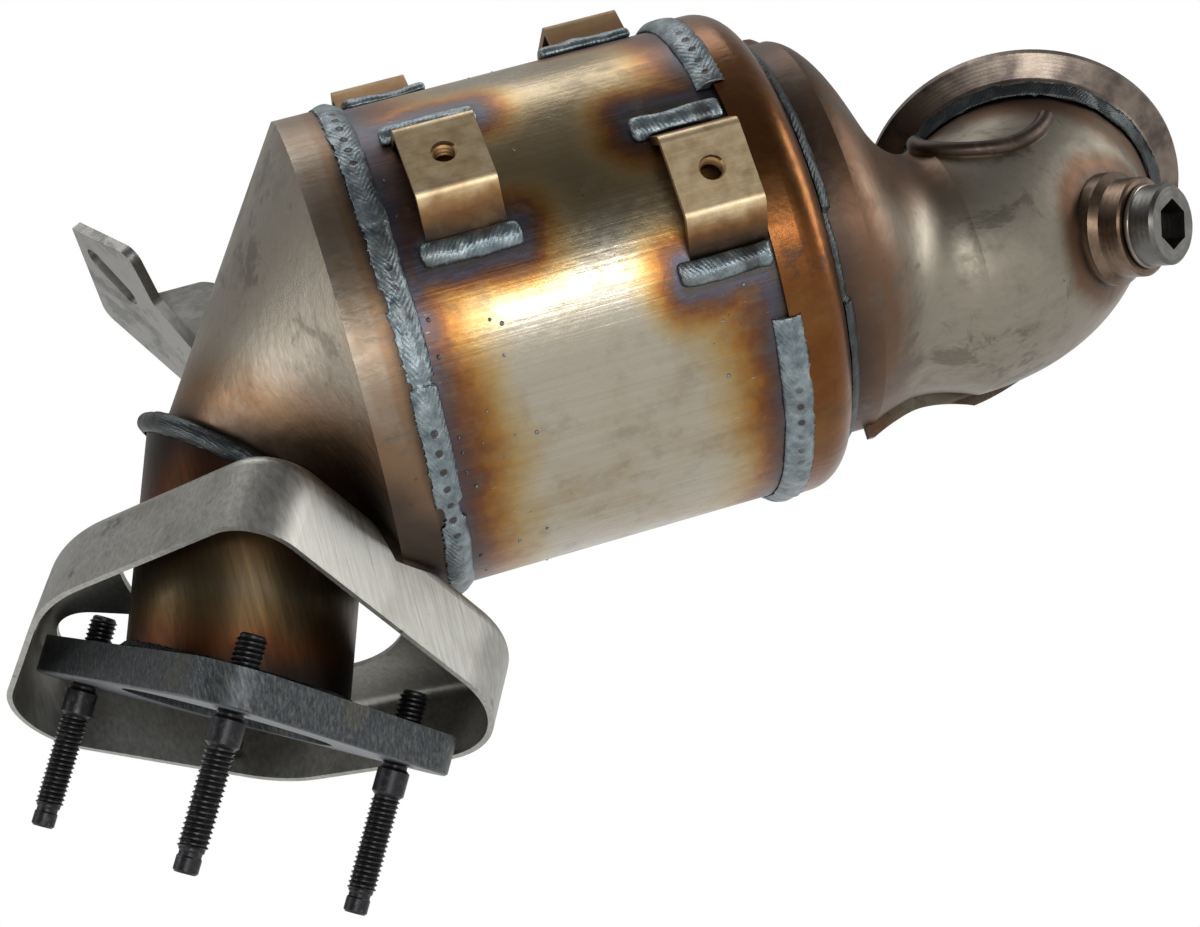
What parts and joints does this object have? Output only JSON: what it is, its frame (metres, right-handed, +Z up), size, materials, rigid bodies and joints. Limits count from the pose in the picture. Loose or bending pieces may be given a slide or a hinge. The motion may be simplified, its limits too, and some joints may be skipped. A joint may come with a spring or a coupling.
{
  "type": "catalytic converter",
  "caption": "Round catalytic converter with a skewed outlet cone, a three-stud flange in a sheet guard, a bent inlet elbow with a V-band ring, and tapped shield clips.",
  "frame": {"origin": "centre of the outlet flange's sealing face", "axes": "+X along the can from outlet to inlet, +Z up, +Y away from the side with the front clips"},
  "size_m": [0.3637, 0.1633, 0.2184],
  "materials": {
    "can_steel": "heat-tinted stainless steel",
    "cone_steel": "dull heat-tinted stainless steel",
    "cap_steel": "brown heat-tinted stainless steel",
    "elbow_steel": "brushed stainless steel with smudges",
    "ring_steel": "dark brown turned steel",
    "pipe_steel": "brown heat-tinted stainless steel",
    "flange_steel": "dark scaled steel",
    "stud_steel": "black oxide",
    "guard_steel": "raw scratched steel",
    "clip_steel": "golden heat-tinted steel",
    "bracket_steel": "raw steel",
    "weld_metal": "blue-grey rippled weld bead",
    "boss_steel": "brown-tinted turned steel",
    "plug_steel": "bright turned steel",
    "gasket_steel": "bright pressed ring",
    "brick_ceramic": "matt honeycomb ceramic",
    "mat_fibre": "pressed ceramic fibre",
    "seal_mesh": "knitted wire"
  },
  "bodies": {
    "root": {"can_shell": "can_steel", "outlet_cone": "cone_steel", "inlet_cap": "cap_steel", "elbow_near_shell": "elbow_steel", "elbow_far_shell": "elbow_steel", "inlet_ring": "ring_steel", "ring_bead": "weld_metal", "sensor_boss": "boss_steel", "sensor_plug": "plug_steel", "plug_gasket": "gasket_steel", "outlet_pipe": "pipe_steel", "outlet_flange": "flange_steel", "stud_left": "stud_steel", "stud_middle": "stud_steel", "stud_right": "stud_steel", "outlet_guard": "guard_steel", "clip_front_outlet": "clip_steel", "clip_front_inlet": "clip_steel", "clip_top_outlet": "clip_steel", "clip_top_inlet": "clip_steel", "slotted_bracket": "bracket_steel", "bracket_gusset": "bracket_steel", "outlet_ring_weld": "weld_metal", "inlet_ring_weld": "weld_metal", "elbow_weld": "weld_metal", "pipe_weld": "weld_metal", "flange_weld": "weld_metal", "catalyst_brick": "brick_ceramic", "support_mat": "mat_fibre", "mat_seal_outlet": "seal_mesh", "mat_seal_inlet": "seal_mesh", "bead_front_outlet_low": "weld_metal", "bead_front_outlet_high": "weld_metal", "bead_front_inlet_low": "weld_metal", "bead_front_inlet_high": "weld_metal", "bead_top_outlet_low": "weld_metal", "bead_top_outlet_high": "weld_metal", "bead_top_inlet_low": "weld_metal", "bead_top_inlet_high": "weld_metal"}
  },
  "joints": []
}
